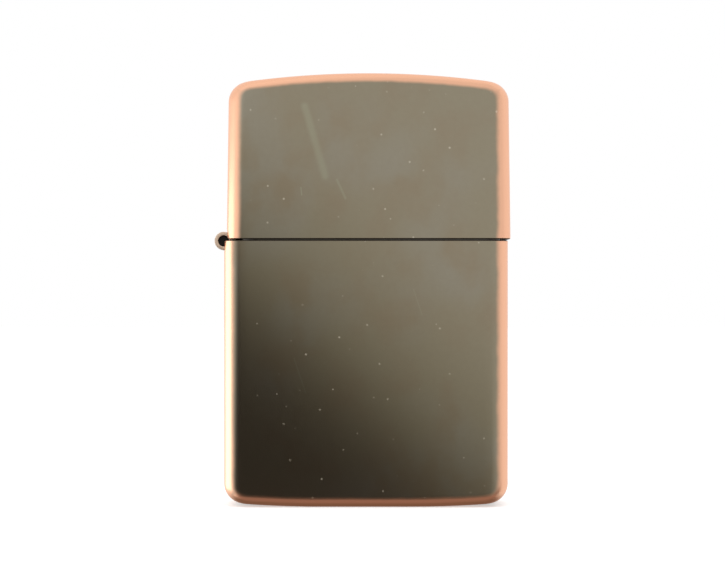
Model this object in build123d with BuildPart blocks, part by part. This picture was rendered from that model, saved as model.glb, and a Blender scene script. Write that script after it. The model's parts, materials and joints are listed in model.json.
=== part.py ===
from build123d import *
from math import asin, cos, degrees, radians, sin, tan
import os

# A flip-top wick lighter in its closed state: a deep drawn metal case and lid joined by a five-knuckle
# hinge on the left, holding an insert with a windscreen chimney, flint wheel, wick, lid cam and a packed
# fuel tank. Millimetres. +Z is up, +X runs from the hinge to the free side, the front faces -Y, and the
# origin is the centre of the base, on the plane where the lighter stands.

# ---- case and lid -----------------------------------------------------------------------------------
WIDTH = 37.3            # outside, without the hinge
DEPTH = 12.8            # outside, front to back
WALL = 0.7              # sheet thickness
EDGE_RADIUS = 1.8       # rounding round the front and back faces
CASE_RIM = 34.9         # the lower case ends here
BASE_FLAT = 12.0        # length of the base that is truly flat
BASE_BOW = 140.0        # radius of the base on each side of the flat
BASE_CORNER = 2.4       # corner radius seen from the front
PANEL_DEPTH = 0.5       # the base panel is pressed in this far
PANEL_MARGIN = 2.6      # from the outside edge to the pressed panel
LID_RIM = 35.1          # the lid starts here, leaving a thin parting gap
LID_TOP = 56.8          # highest point of the crowned top
LID_CROWN = 119.0       # radius of the crowned top
LID_CORNER = 2.2        # corner radius seen from the front
LID_DRAFT = 0.7         # degrees that each narrow side leans in
LID_SHIFT = 0.35        # the lid sits this far towards the free side

# ---- hinge ------------------------------------------------------------------------------------------
LEAF = 0.45             # leaf thickness
LEAF_REACH = 9.0        # how far each leaf lies on its wall
KNUCKLE_RADIUS = 1.2
KNUCKLES = 5
KNUCKLE_GAP = 0.1       # between neighbouring knuckles
PIN_RADIUS = 0.74
PIN_PLAY = 0.04         # radial clearance of whatever turns on a pin or rivet
PIN_RECESS = 0.6        # the pin stops this far inside each end of the barrel
HINGE_LENGTH = 9.0
HINGE_Z = 34.85
HEEL_DROP = 0.6         # the lid leaf's heel ends this far under the axis
HEEL_ROUND = 0.25
NOTCH_PLAY = 0.12       # between the knuckles and the notches in both shells
NOTCH_ENDS = 0.15       # the same at each end of the barrel

# ---- insert -----------------------------------------------------------------------------------------
SHEET = 0.45            # tank sheet thickness
TANK_LEFT, TANK_RIGHT = -16.8, 17.7
TANK_DEPTH = 11.1
TANK_CORNER = 2.6
TANK_BASE, TANK_TOP = 2.4, 38.0
LIP = 0.6               # the tank's lip, rolled in over the top plate
PLATE = 0.6             # top plate thickness
PLATE_TOP = TANK_TOP - SHEET
WELL_FLOOR = 32.65      # top of the floor of the cam's well
WELL_RIGHT = -10.8      # where the well ends, inside
WELL_HALF = 2.65        # half its inside depth, front to back

# ---- chimney ----------------------------------------------------------------------------------------
CHIMNEY_TOP = 54.3
CHIMNEY_SHEET = 0.5
CHIMNEY_LEFT, CHIMNEY_RIGHT = -10.4, 15.4
CHIMNEY_HALF = 4.8      # half depth outside, at the perforated wall
CHIMNEY_BEND = 3.0      # middle radius of the closed end's two bends
EAR_HALF = 3.9          # half depth outside, at the wheel's ears
JOG_X, JOG_HALF = 5.4, 1.1      # where the walls step in to the ears, and half the step's length
JOG_BEND = 0.9
EAR_LOW, EAR_HIGH = 3.0, 1.6    # of the ears' outer corners: above the plate, and above the wheel's axis
EAR_REACH = 2.6         # from the wheel's axis to the outer top corner
EAR_STEP = (-2.4, 2.2)  # from the wheel's axis to the corner below the chimney's top
EAR_ROUND = 1.3
VENT_RADIUS = 1.3
VENT_PITCH = 4.3        # along a row
VENT_ROW = 4.4          # from row to row
VENT_LIFT = 0.4         # the middle row is this much above mid height

# ---- spark wheel and flint --------------------------------------------------------------------------
WHEEL_X, WHEEL_Z = 9.6, 49.6
WHEEL_RADIUS = 3.3
WHEEL_WIDTH = 5.0
HUB_RADIUS = 2.0
SIDE_PLAY = 0.05        # each side of the wheel, between the ears
TEETH = 30
TOOTH = 0.42            # from the rim to a tooth gap's centre line
AXLE_RADIUS, AXLE_HEAD, AXLE_DOME = 0.9, 1.6, 0.5
TUBE_RADIUS, BORE_RADIUS = 1.95, 1.3
TUBE_BASE, TUBE_TOP = 4.4, 45.6
FLINT_RADIUS, FLINT_LENGTH = 1.2, 4.6
FLINT_GAP = 0.05        # between the flint's worn end and the wheel
PLUNGER_HEAD, PLUNGER_TAIL = 1.5, 0.6           # head length, tail radius
SCREW_RADIUS, SCREW_HEAD, SCREW_TOP = 2.8, 1.6, 9.2
SHANK_RADIUS = 1.55
SLOT_WIDTH = 0.9
KNURLS, KNURL_RADIUS = 24, 0.18
WIRE, COIL_RADIUS, COIL_PITCH = 0.18, 0.95, 1.5

# ---- cam --------------------------------------------------------------------------------------------
CAM_X, CAM_Z = -12.2, 39.3
CAM_WIDTH = 4.6
CAM_REACH = 5.12        # from the cam's axis to the centre of its nose
CAM_ANGLE = 222.4       # of the nose with the lid closed, from +X towards +Z
CAM_NOSE, CAM_BOSS = 1.0, 1.5
CAM_GAP = 0.15          # between the cam and each ear
CAM_PIN, CAM_HEAD, CAM_DOME = 0.8, 1.35, 0.4
EAR_RADIUS = 1.7        # of the chimney's two ears that carry the cam
BLADE = 0.3             # cam spring thickness
BLADE_MARGIN = 0.3      # how much narrower than the cam it is, each side
BLADE_CURL, BLADE_TURN = 3.2, 62.0
BLADE_FLAT = 1.0        # length past its rivet before it curls up
STUD, STUD_HEAD = 0.45, 0.35    # the cam spring's rivet: its radius, and each head's height

# ---- soft filling -----------------------------------------------------------------------------------
WICK_X, WICK_RADIUS = -1.6, 1.5
WICK_ROUTE = ((0, 50.4), (0, 33.0), (-4.0, 27.0), (2.6, 20.0), (-3.4, 13.0), (0.6, 7.0))
WICK_BEND = 5.0
WICK_PLAY = 0.1
FELT_BASE, FELT_TOP = 2.6, 4.6
WAD_GAP = 0.25          # round each wad
WAD_ROUND = 1.6
WADS = 5

CASE_INNER_X = -WIDTH / 2 + WALL
HINGE_X = CASE_INNER_X + LEAF - KNUCKLE_RADIUS
NOTCH = KNUCKLE_RADIUS + NOTCH_PLAY
PITCH = HINGE_LENGTH / KNUCKLES
TANK_X = (TANK_LEFT + TANK_RIGHT) / 2
TANK_WIDTH = TANK_RIGHT - TANK_LEFT
LID_FRONT = Plane((LID_SHIFT, 0, 0), x_dir=(1, 0, 0), z_dir=(0, -1, 0))
UP_FROM = (Align.CENTER, Align.CENTER, Align.MIN)
PARTS = []


def finish(part, name):
    """Names a finished piece and keeps it for export."""
    part.label = name
    PARTS.append(part)


def leaning(half, height):
    """Half width of the lid at a height above its rim, its sides leaning in."""
    return half - height * tan(radians(LID_DRAFT))


def case_block(inset, rim):
    """The lower case as a solid block, its whole skin moved in by inset."""
    half, bow = WIDTH / 2 - inset, BASE_BOW - inset
    with BuildPart() as block:
        with BuildSketch(Plane.XZ) as outline:
            with BuildLine():
                turn = degrees(asin((half - BASE_FLAT / 2) / bow))
                rise = JernArc((BASE_FLAT / 2, inset), (1, 0), bow, turn)
                side = Line(rise @ 1, (half, rim))
                mirror([rise, side], about=Plane.YZ)
                Line((-BASE_FLAT / 2, inset), (BASE_FLAT / 2, inset))
                Line((-half, rim), (half, rim))
            make_face()
            fillet(outline.vertices().group_by(Axis.Y)[1], BASE_CORNER - inset)
        extrude(amount=DEPTH / 2 - inset, both=True)
        faces = block.edges().group_by(Axis.Y)
        fillet((faces[0] + faces[-1]).sort_by(Axis.Z)[:-2], EDGE_RADIUS - inset)
    return block.part


def lid_block(inset, rim):
    """The lid as a solid block, its whole skin moved in by inset."""
    half, radius = WIDTH / 2 - inset, LID_CROWN - inset
    foot, crest = leaning(half, rim - LID_RIM), leaning(half, LID_TOP - LID_RIM)
    with BuildPart() as block:
        with BuildSketch(LID_FRONT) as outline:
            Polygon((-foot, rim), (foot, rim), (crest, LID_TOP), (-crest, LID_TOP), align=None)
            with Locations((0, LID_TOP - inset - radius)):
                Circle(radius, mode=Mode.INTERSECT)
            fillet(outline.vertices().group_by(Axis.Y)[-1], LID_CORNER - inset)
        extrude(amount=DEPTH / 2 - inset, both=True)
        faces = block.edges().group_by(Axis.Y)
        fillet((faces[0] + faces[-1]).sort_by(Axis.Z)[2:], EDGE_RADIUS - inset)
    return block.part


# The lower case: a seamless cup with its base panel pressed in, so that it stands on its rim.
with BuildPart() as case_shell:
    add(case_block(0, CASE_RIM))
    add(case_block(WALL, CASE_RIM + WALL), mode=Mode.SUBTRACT)
    with BuildSketch(Plane.XY.offset(WALL)):
        RectangleRounded(WIDTH - 2 * PANEL_MARGIN + WALL, DEPTH - 2 * PANEL_MARGIN + WALL, EDGE_RADIUS)
    extrude(amount=PANEL_DEPTH)
    with BuildSketch(Plane.XY):
        RectangleRounded(WIDTH - 2 * PANEL_MARGIN, DEPTH - 2 * PANEL_MARGIN, EDGE_RADIUS)
    extrude(amount=PANEL_DEPTH, mode=Mode.SUBTRACT)
    with Locations((-WIDTH / 2, 0, HINGE_Z - NOTCH)):
        Box(4 * WALL, HINGE_LENGTH + 2 * NOTCH_ENDS, 2 * NOTCH, align=UP_FROM, mode=Mode.SUBTRACT)
finish(case_shell.part, "case_shell")

# The lid: the same drawn sheet, crowned on top, with slightly leaning sides.
with BuildPart() as lid_shell:
    add(lid_block(0, LID_RIM))
    add(lid_block(WALL, LID_RIM - WALL), mode=Mode.SUBTRACT)
    with Locations((LID_SHIFT - WIDTH / 2, 0, HINGE_Z - NOTCH)):
        Box(4 * WALL, HINGE_LENGTH + 2 * NOTCH_ENDS, 2 * NOTCH, align=UP_FROM, mode=Mode.SUBTRACT)
finish(lid_shell.part, "lid_shell")


def knuckle_planes(first):
    """The front face plane of every second knuckle, counted from the front of the lighter."""
    start = HINGE_LENGTH / 2 - KNUCKLE_GAP / 2
    return [Plane.XZ.offset(start - i * PITCH) for i in range(first, KNUCKLES, 2)]


# The case's hinge leaf: a plate inside the left wall, with three of its fingers curled over the pin.
with BuildPart() as case_hinge_leaf:
    plate_top = HINGE_Z - KNUCKLE_RADIUS - HEEL_DROP - KNUCKLE_GAP
    with BuildSketch(Plane.YZ.offset(CASE_INNER_X)) as plate:
        with Locations((0, plate_top)):
            Rectangle(HINGE_LENGTH, LEAF_REACH, align=(Align.CENTER, Align.MAX))
        fillet(plate.vertices().group_by(Axis.Y)[0], EDGE_RADIUS)
    extrude(amount=LEAF)
    for plane in knuckle_planes(0):
        with BuildSketch(plane):
            with Locations((CASE_INNER_X, plate_top)):
                Rectangle(LEAF, HINGE_Z - plate_top, align=(Align.MIN, Align.MIN))
            with Locations((HINGE_X, HINGE_Z)):
                Circle(KNUCKLE_RADIUS)
                Circle(PIN_RADIUS, mode=Mode.SUBTRACT)
        extrude(amount=KNUCKLE_GAP - PITCH)
finish(case_hinge_leaf.part, "case_hinge_leaf")

# The lid's hinge leaf: a plate inside the lid, its two fingers run past the pin as a heel for the cam.
with BuildPart() as lid_hinge_leaf:
    lid_inner = LID_SHIFT - WIDTH / 2 + WALL
    foot_z, head_z = HINGE_Z + NOTCH, LID_RIM + LEAF_REACH
    foot_x, head_x = (lid_inner + (z - LID_RIM) * tan(radians(LID_DRAFT)) for z in (foot_z, head_z))
    with BuildSketch(Plane.XZ):
        Polygon(
            (foot_x, foot_z), (foot_x + LEAF, foot_z), (head_x + LEAF, head_z), (head_x, head_z), align=None,
        )
    extrude(amount=HINGE_LENGTH / 2, both=True)
    fillet(lid_hinge_leaf.edges().filter_by(Axis.X).group_by(Axis.Z)[-1], EDGE_RADIUS)
    for plane in knuckle_planes(1):
        with BuildSketch(plane) as finger:
            Polygon(
                (HINGE_X + PIN_RADIUS, HINGE_Z - HEEL_DROP), (lid_inner + LEAF, HINGE_Z - HEEL_DROP),
                (foot_x + LEAF, foot_z), (foot_x, foot_z), (HINGE_X + PIN_RADIUS, HINGE_Z + HEEL_DROP),
                align=None,
            )
            fillet(finger.vertices().sort_by(Axis.X)[-2:].sort_by(Axis.Y)[0], HEEL_ROUND)
            with Locations((HINGE_X, HINGE_Z)):
                Circle(KNUCKLE_RADIUS)
                Circle(PIN_RADIUS + PIN_PLAY, mode=Mode.SUBTRACT)
        extrude(amount=KNUCKLE_GAP - PITCH)
finish(lid_hinge_leaf.part, "lid_hinge_leaf")

# The hinge pin, a plain wire shorter than the barrel.
with BuildPart() as hinge_pin:
    with BuildSketch(Plane.XZ):
        with Locations((HINGE_X, HINGE_Z)):
            Circle(PIN_RADIUS)
    extrude(amount=HINGE_LENGTH / 2 - PIN_RECESS, both=True)
finish(hinge_pin.part, "hinge_pin")

# The insert's tank: a stainless sleeve, open below, its top edge rolled in over the top plate.
with BuildPart() as insert_tank:
    with BuildSketch(Plane.XY.offset(TANK_BASE)):
        with Locations((TANK_X, 0)):
            RectangleRounded(TANK_WIDTH, TANK_DEPTH, TANK_CORNER)
            offset(amount=-SHEET, mode=Mode.SUBTRACT)
    extrude(amount=TANK_TOP - TANK_BASE)
    with BuildSketch(Plane.XY.offset(PLATE_TOP)):
        with Locations((TANK_X, 0)):
            RectangleRounded(TANK_WIDTH - SHEET, TANK_DEPTH - SHEET, TANK_CORNER - SHEET / 2)
            offset(amount=SHEET / 2 - LIP, mode=Mode.SUBTRACT)
    extrude(amount=SHEET)
    fillet(insert_tank.faces().sort_by(Axis.Z)[-1].outer_wire().edges(), SHEET * 0.9)
    with Locations((TANK_LEFT, 0, WELL_FLOOR)):
        Box(2 * LIP + SHEET, 2 * WELL_HALF, TANK_TOP - WELL_FLOOR, align=UP_FROM, mode=Mode.SUBTRACT)
finish(insert_tank.part, "insert_tank")

# The top plate closes the tank. It has holes for the wick and flint tube, and a drawn well for the cam.
well_left = TANK_LEFT + SHEET
stud_x = WELL_RIGHT - 3 * STUD
with BuildPart() as insert_top_plate:
    with BuildSketch(Plane.XY.offset(PLATE_TOP)):
        with Locations((TANK_X, 0)):
            RectangleRounded(TANK_WIDTH - 2 * SHEET, TANK_DEPTH - 2 * SHEET, TANK_CORNER - SHEET)
    extrude(amount=-PLATE)
    with Locations((well_left, 0, WELL_FLOOR - SHEET)):
        Box(
            WELL_RIGHT + SHEET - well_left, 2 * (WELL_HALF + SHEET), PLATE_TOP + SHEET - WELL_FLOOR,
            align=(Align.MIN, Align.CENTER, Align.MIN),
        )
    with Locations((well_left, 0, WELL_FLOOR)):
        Box(
            WELL_RIGHT - well_left, 2 * WELL_HALF, TANK_TOP - WELL_FLOOR,
            align=(Align.MIN, Align.CENTER, Align.MIN), mode=Mode.SUBTRACT,
        )
    with BuildSketch(Plane.XY.offset(PLATE_TOP)):
        with Locations((WICK_X, 0)):
            Circle(WICK_RADIUS + WICK_PLAY)
        with Locations((WHEEL_X, 0)):
            Circle(TUBE_RADIUS)
    extrude(amount=-PLATE, mode=Mode.SUBTRACT)
    with BuildSketch(Plane.XY.offset(WELL_FLOOR)):
        with Locations((stud_x, 0)):
            Circle(STUD)
    extrude(amount=-SHEET, mode=Mode.SUBTRACT)
finish(insert_top_plate.part, "insert_top_plate")

# The chimney: one strip bent round the wick, open towards the wheel, where it steps in to two ears. Two
# small ears on its closed end carry the cam.
wall_y, ear_y = CHIMNEY_HALF - CHIMNEY_SHEET / 2, EAR_HALF - CHIMNEY_SHEET / 2
back_x = CHIMNEY_LEFT + CHIMNEY_SHEET / 2
with BuildPart() as chimney:
    with BuildSketch(Plane.XY.offset(PLATE_TOP)):
        with BuildLine():
            FilletPolyline(
                (CHIMNEY_RIGHT, -ear_y), (JOG_X + JOG_HALF, -ear_y), (JOG_X - JOG_HALF, -wall_y),
                (back_x, -wall_y), (back_x, wall_y),
                (JOG_X - JOG_HALF, wall_y), (JOG_X + JOG_HALF, ear_y), (CHIMNEY_RIGHT, ear_y),
                radius=[JOG_BEND, JOG_BEND, CHIMNEY_BEND, CHIMNEY_BEND, JOG_BEND, JOG_BEND],
            )
        trace(line_width=CHIMNEY_SHEET)
    extrude(amount=CHIMNEY_TOP - PLATE_TOP)
    with BuildSketch(Plane.XZ) as side:
        Polygon(
            (CHIMNEY_LEFT - 1, PLATE_TOP - 1), (CHIMNEY_RIGHT, PLATE_TOP - 1),
            (CHIMNEY_RIGHT, PLATE_TOP + EAR_LOW), (WHEEL_X + EAR_REACH, WHEEL_Z + EAR_HIGH),
            (WHEEL_X + EAR_STEP[0], WHEEL_Z + EAR_STEP[1]), (JOG_X, CHIMNEY_TOP),
            (CHIMNEY_LEFT - 1, CHIMNEY_TOP), align=None,
        )
        fillet(side.vertices().filter_by(lambda v: v.Y > PLATE_TOP and v.X > CHIMNEY_LEFT), EAR_ROUND)
    extrude(amount=DEPTH, both=True, mode=Mode.INTERSECT)
    with BuildSketch(Plane.XZ):
        with Locations(((CHIMNEY_LEFT + JOG_X) / 2, (PLATE_TOP + CHIMNEY_TOP) / 2 + VENT_LIFT)):
            with GridLocations(VENT_PITCH, 2 * VENT_ROW, 3, 2):
                Circle(VENT_RADIUS)
            with GridLocations(VENT_PITCH, VENT_ROW, 2, 1):
                Circle(VENT_RADIUS)
        with Locations((WHEEL_X, WHEEL_Z)):
            Circle(AXLE_RADIUS)
    extrude(amount=DEPTH, both=True, mode=Mode.SUBTRACT)
    for way in (-1, 1):
        with BuildSketch(Plane.XZ.offset(way * (CAM_WIDTH / 2 + CAM_GAP))):
            with Locations((CAM_X, PLATE_TOP)):
                Rectangle(back_x - CAM_X, CAM_Z - PLATE_TOP + EAR_RADIUS, align=(Align.MIN, Align.MIN))
            with Locations((CAM_X, CAM_Z)):
                Circle(EAR_RADIUS)
                Circle(CAM_PIN, mode=Mode.SUBTRACT)
        extrude(amount=way * SHEET)
finish(chimney.part, "chimney")

# The cam: a lever whose nose bears on the lid leaf's heel.
with BuildPart() as cam:
    with BuildSketch(Plane.XZ):
        with Locations((CAM_X, CAM_Z)):
            Circle(CAM_BOSS)
            with PolarLocations(CAM_REACH, 1, start_angle=CAM_ANGLE):
                Circle(CAM_NOSE)
        make_hull()
        with Locations((CAM_X, CAM_Z)):
            Circle(CAM_PIN + PIN_PLAY, mode=Mode.SUBTRACT)
    extrude(amount=CAM_WIDTH / 2, both=True)
finish(cam.part, "cam")


def rivet(x, z, radius, grip, head_radius, head):
    """A rivet that runs front to back at (x, z), with a domed head on each side of its grip."""
    with BuildPart() as made:
        with BuildSketch(Plane.XZ):
            with Locations((x, z)):
                Circle(radius)
        extrude(amount=grip / 2, both=True)
        for way in (-1, 1):
            with BuildSketch(Plane.XZ.offset(way * grip / 2)):
                with Locations((x, z)):
                    Circle(head_radius)
            extrude(amount=way * head)
        rims = made.edges().filter_by(GeomType.CIRCLE).group_by(Axis.Y)
        fillet(rims[0] + rims[-1], head * 0.7)
    return made.part


finish(rivet(CAM_X, CAM_Z, CAM_PIN, CAM_WIDTH + 2 * (CAM_GAP + SHEET), CAM_HEAD, CAM_DOME), "cam_rivet")
finish(rivet(WHEEL_X, WHEEL_Z, AXLE_RADIUS, 2 * EAR_HALF, AXLE_HEAD, AXLE_DOME), "wheel_rivet")

# The cam spring: a blade riveted to the floor of the well, curling up under the cam's nose.
with BuildPart() as cam_spring:
    with BuildSketch(Plane.XZ):
        with BuildLine():
            middle = WELL_FLOOR + BLADE / 2
            flat = Line((stud_x + 3 * STUD - KNUCKLE_GAP, middle), (stud_x - BLADE_FLAT, middle))
            JernArc(flat @ 1, (-1, 0), BLADE_CURL, -BLADE_TURN)
        trace(line_width=BLADE)
    extrude(amount=CAM_WIDTH / 2 - BLADE_MARGIN, both=True)
    with BuildSketch(Plane.XY.offset(WELL_FLOOR)):
        with Locations((stud_x, 0)):
            Circle(STUD)
    extrude(amount=BLADE, mode=Mode.SUBTRACT)
finish(cam_spring.part, "cam_spring")

# The cam spring's rivet, from under the well's floor to the top of the blade.
with BuildPart() as cam_spring_rivet:
    with BuildSketch(Plane.XY.offset(WELL_FLOOR - SHEET)):
        with Locations((stud_x, 0)):
            Circle(STUD)
    extrude(amount=SHEET + BLADE)
    for low in (WELL_FLOOR - SHEET - STUD_HEAD, WELL_FLOOR + BLADE):
        with BuildSketch(Plane.XY.offset(low)):
            with Locations((stud_x, 0)):
                Circle(2 * STUD)
        extrude(amount=STUD_HEAD)
    fillet(cam_spring_rivet.edges().sort_by(Axis.Z)[-1], STUD_HEAD / 2)
finish(cam_spring_rivet.part, "cam_spring_rivet")

# The spark wheel: a hardened roller cut with teeth, on two plain hubs.
with BuildPart() as flint_wheel:
    with BuildSketch(Plane.XZ):
        with Locations((WHEEL_X, WHEEL_Z)):
            Circle(WHEEL_RADIUS)
            with PolarLocations(WHEEL_RADIUS, TEETH):
                RegularPolygon(TOOTH, 3, rotation=180, mode=Mode.SUBTRACT)
    extrude(amount=WHEEL_WIDTH / 2, both=True)
    with BuildSketch(Plane.XZ):
        with Locations((WHEEL_X, WHEEL_Z)):
            Circle(HUB_RADIUS)
    extrude(amount=EAR_HALF - CHIMNEY_SHEET - SIDE_PLAY, both=True)
    with BuildSketch(Plane.XZ):
        with Locations((WHEEL_X, WHEEL_Z)):
            Circle(AXLE_RADIUS + PIN_PLAY)
    extrude(amount=EAR_HALF, both=True, mode=Mode.SUBTRACT)
finish(flint_wheel.part, "flint_wheel")

# The flint tube: brass, brazed through the top plate, bored wider at its lower end for the screw.
with BuildPart() as flint_tube:
    with BuildSketch(Plane.XY.offset(TUBE_BASE)):
        with Locations((WHEEL_X, 0)):
            Circle(TUBE_RADIUS)
            Circle(BORE_RADIUS, mode=Mode.SUBTRACT)
    extrude(amount=TUBE_TOP - TUBE_BASE)
    with BuildSketch(Plane.XY.offset(TUBE_BASE)):
        with Locations((WHEEL_X, 0)):
            Circle(SHANK_RADIUS)
    extrude(amount=SCREW_TOP - TUBE_BASE, mode=Mode.SUBTRACT)
finish(flint_tube.part, "flint_tube")

# The flint, its top worn to the wheel.
flint_base = WHEEL_Z - WHEEL_RADIUS - FLINT_GAP - FLINT_LENGTH
with BuildPart() as flint:
    with BuildSketch(Plane.XY.offset(flint_base)):
        with Locations((WHEEL_X, 0)):
            Circle(FLINT_RADIUS)
    extrude(amount=WHEEL_Z - WHEEL_RADIUS - flint_base + HEEL_ROUND)
    with BuildSketch(Plane.XZ):
        with Locations((WHEEL_X, WHEEL_Z)):
            Circle(WHEEL_RADIUS + FLINT_GAP)
    extrude(amount=WHEEL_WIDTH, both=True, mode=Mode.SUBTRACT)
finish(flint.part, "flint")

# The brass plunger between spring and flint, its tail inside the coil.
spring_top = flint_base - PLUNGER_HEAD
with BuildPart() as flint_plunger:
    with BuildSketch(Plane.XY.offset(spring_top)):
        with Locations((WHEEL_X, 0)):
            Circle(FLINT_RADIUS)
    extrude(amount=PLUNGER_HEAD)
    with BuildSketch(Plane.XY.offset(spring_top)):
        with Locations((WHEEL_X, 0)):
            Circle(PLUNGER_TAIL)
    extrude(amount=-PLUNGER_HEAD)
finish(flint_plunger.part, "flint_plunger")

# The flint spring: a long coil between the screw and the plunger.
with BuildPart() as flint_spring:
    with BuildLine() as coil:
        Helix(
            COIL_PITCH, spring_top - SCREW_TOP - 2 * WIRE, COIL_RADIUS,
            center=(WHEEL_X, 0, SCREW_TOP + WIRE),
        )
    with BuildSketch(coil.line ^ 0):
        Circle(WIRE)
    sweep(is_frenet=True)
finish(flint_spring.part, "flint_spring")

# The screw under the tube: a slotted, knurled head on a plain shank.
with BuildPart() as flint_screw:
    with BuildSketch(Plane.XY.offset(TUBE_BASE)):
        with Locations((WHEEL_X, 0)):
            Circle(SCREW_RADIUS)
            with PolarLocations(SCREW_RADIUS, KNURLS):
                Circle(KNURL_RADIUS, mode=Mode.SUBTRACT)
    extrude(amount=-SCREW_HEAD)
    with BuildSketch(Plane.XY.offset(TUBE_BASE)):
        with Locations((WHEEL_X, 0)):
            Circle(SHANK_RADIUS)
    extrude(amount=SCREW_TOP - TUBE_BASE)
    with BuildSketch(Plane.XY.offset(TUBE_BASE - SCREW_HEAD)):
        with Locations((WHEEL_X, 0)):
            Rectangle(3 * SCREW_RADIUS, SLOT_WIDTH)
    extrude(amount=SCREW_HEAD / 2, mode=Mode.SUBTRACT)
finish(flint_screw.part, "flint_screw")


def wick_rope(radius):
    """The wick's route: straight up through the chimney, and loosely folded down through the packing."""
    with BuildPart() as rope:
        with BuildLine(Plane.XZ) as route:
            FilletPolyline(*((WICK_X + x, z) for x, z in WICK_ROUTE), radius=WICK_BEND)
        with BuildSketch(route.line ^ 0):
            Circle(radius)
        sweep()
    return rope.part


channel = wick_rope(WICK_RADIUS + WICK_PLAY)
finish(wick_rope(WICK_RADIUS), "wick")

# Rayon wads fill the tank in layers round the wick and the flint tube. The top one stops beside the
# cam's well, and the one below it is thinner, to pass under the well.
floor, ceiling = FELT_TOP + WAD_GAP, PLATE_TOP - PLATE - WAD_GAP
layer_height = (ceiling - floor) / WADS
inner_left, inner_right = TANK_LEFT + SHEET + WAD_GAP, TANK_RIGHT - SHEET - WAD_GAP
inner_depth = TANK_DEPTH - 2 * SHEET - 2 * WAD_GAP
for layer in range(WADS):
    low = floor + layer * layer_height
    left = inner_left if layer < WADS - 1 else WELL_RIGHT + SHEET + WAD_GAP
    high = min(low + layer_height, WELL_FLOOR - 2 * SHEET) if layer == WADS - 2 else low + layer_height
    with BuildPart() as wad:
        with BuildSketch(Plane.XY.offset(low)):
            with Locations(((left + inner_right) / 2, 0)):
                RectangleRounded(inner_right - left, inner_depth, TANK_CORNER - SHEET)
        extrude(amount=high - low - WAD_GAP)
        fillet(wad.faces().filter_by(Axis.Z).edges(), WAD_ROUND)
        with BuildSketch(Plane.XY.offset(low)):
            with Locations((WHEEL_X, 0)):
                Circle(TUBE_RADIUS + WICK_PLAY)
        extrude(amount=layer_height, mode=Mode.SUBTRACT)
        add(channel, mode=Mode.SUBTRACT)
    finish(wad.part, f"packing_wad_{layer + 1}")

# The felt pad closes the tank below, with a hole for the screw.
with BuildPart() as felt_pad:
    with BuildSketch(Plane.XY.offset(FELT_BASE)):
        with Locations((TANK_X, 0)):
            RectangleRounded(inner_right - inner_left, inner_depth, TANK_CORNER - SHEET)
        with Locations((WHEEL_X, 0)):
            Circle(SCREW_RADIUS + WAD_GAP, mode=Mode.SUBTRACT)
    extrude(amount=FELT_TOP - FELT_BASE)
finish(felt_pad.part, "felt_pad")

os.makedirs("parts", exist_ok=True)
for part in PARTS:
    export_step(part, f"parts/{part.label}.step")
print("pieces", len(PARTS))
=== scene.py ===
import json
import random
from math import cos, pi, radians, sin, sqrt, tan

import bmesh
import bpy
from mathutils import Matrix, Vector

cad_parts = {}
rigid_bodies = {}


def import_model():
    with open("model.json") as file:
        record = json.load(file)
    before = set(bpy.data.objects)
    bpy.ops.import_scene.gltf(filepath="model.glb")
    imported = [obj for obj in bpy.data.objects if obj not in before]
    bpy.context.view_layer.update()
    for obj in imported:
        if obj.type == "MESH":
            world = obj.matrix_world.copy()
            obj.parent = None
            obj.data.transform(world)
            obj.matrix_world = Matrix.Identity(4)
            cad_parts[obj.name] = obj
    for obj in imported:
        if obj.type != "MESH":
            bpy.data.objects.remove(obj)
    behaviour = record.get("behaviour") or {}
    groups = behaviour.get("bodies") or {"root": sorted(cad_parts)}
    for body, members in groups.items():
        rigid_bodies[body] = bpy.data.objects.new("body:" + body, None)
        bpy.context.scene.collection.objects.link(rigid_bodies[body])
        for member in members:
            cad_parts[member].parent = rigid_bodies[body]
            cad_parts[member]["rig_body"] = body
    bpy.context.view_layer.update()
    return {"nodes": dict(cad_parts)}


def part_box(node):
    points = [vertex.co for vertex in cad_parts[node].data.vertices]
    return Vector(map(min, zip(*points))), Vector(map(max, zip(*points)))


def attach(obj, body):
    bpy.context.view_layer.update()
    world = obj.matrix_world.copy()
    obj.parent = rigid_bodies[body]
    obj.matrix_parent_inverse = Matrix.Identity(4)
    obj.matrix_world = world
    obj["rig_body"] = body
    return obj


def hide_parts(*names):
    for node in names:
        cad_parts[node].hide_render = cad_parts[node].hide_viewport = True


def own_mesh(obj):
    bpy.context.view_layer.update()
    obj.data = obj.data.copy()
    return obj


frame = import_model()
MM = 0.001

# ---- Lower case --------------------------------------------------------------------------------------
# A deep cup drawn from thin brass sheet, copper plated and then blackened. The dark coat is rubbed back
# by hand, so it stays on the flats as a satin patina and bare copper shows on every rounded edge.

case_low, case_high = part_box("case_shell")
case_middle = (case_low + case_high) / 2
case_half = (case_high - case_low) / 2
case_depth = case_high.z - case_low.z
sheet = 0.7 * MM
rim_break = 0.09 * MM               # how far the sheet's cut edge is broken
upright_round = 2.3 * MM            # the four upright edges, seen from above
base_corner = 2.4 * MM              # the two lower corners, seen from the front
base_edge = 1.25 * MM               # where the base meets the front and the back
base_flat, base_bow = 6 * MM, 140 * MM
panel_margin, panel_press, panel_slope = 2.4 * MM, 0.5 * MM, 0.45 * MM   # base's rim, depth and step
hinge_level = 34.85 * MM            # the hinge's axis
notch_half_height, notch_half_length, notch_depth = 1.32 * MM, 4.65 * MM, 1.3 * MM


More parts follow.
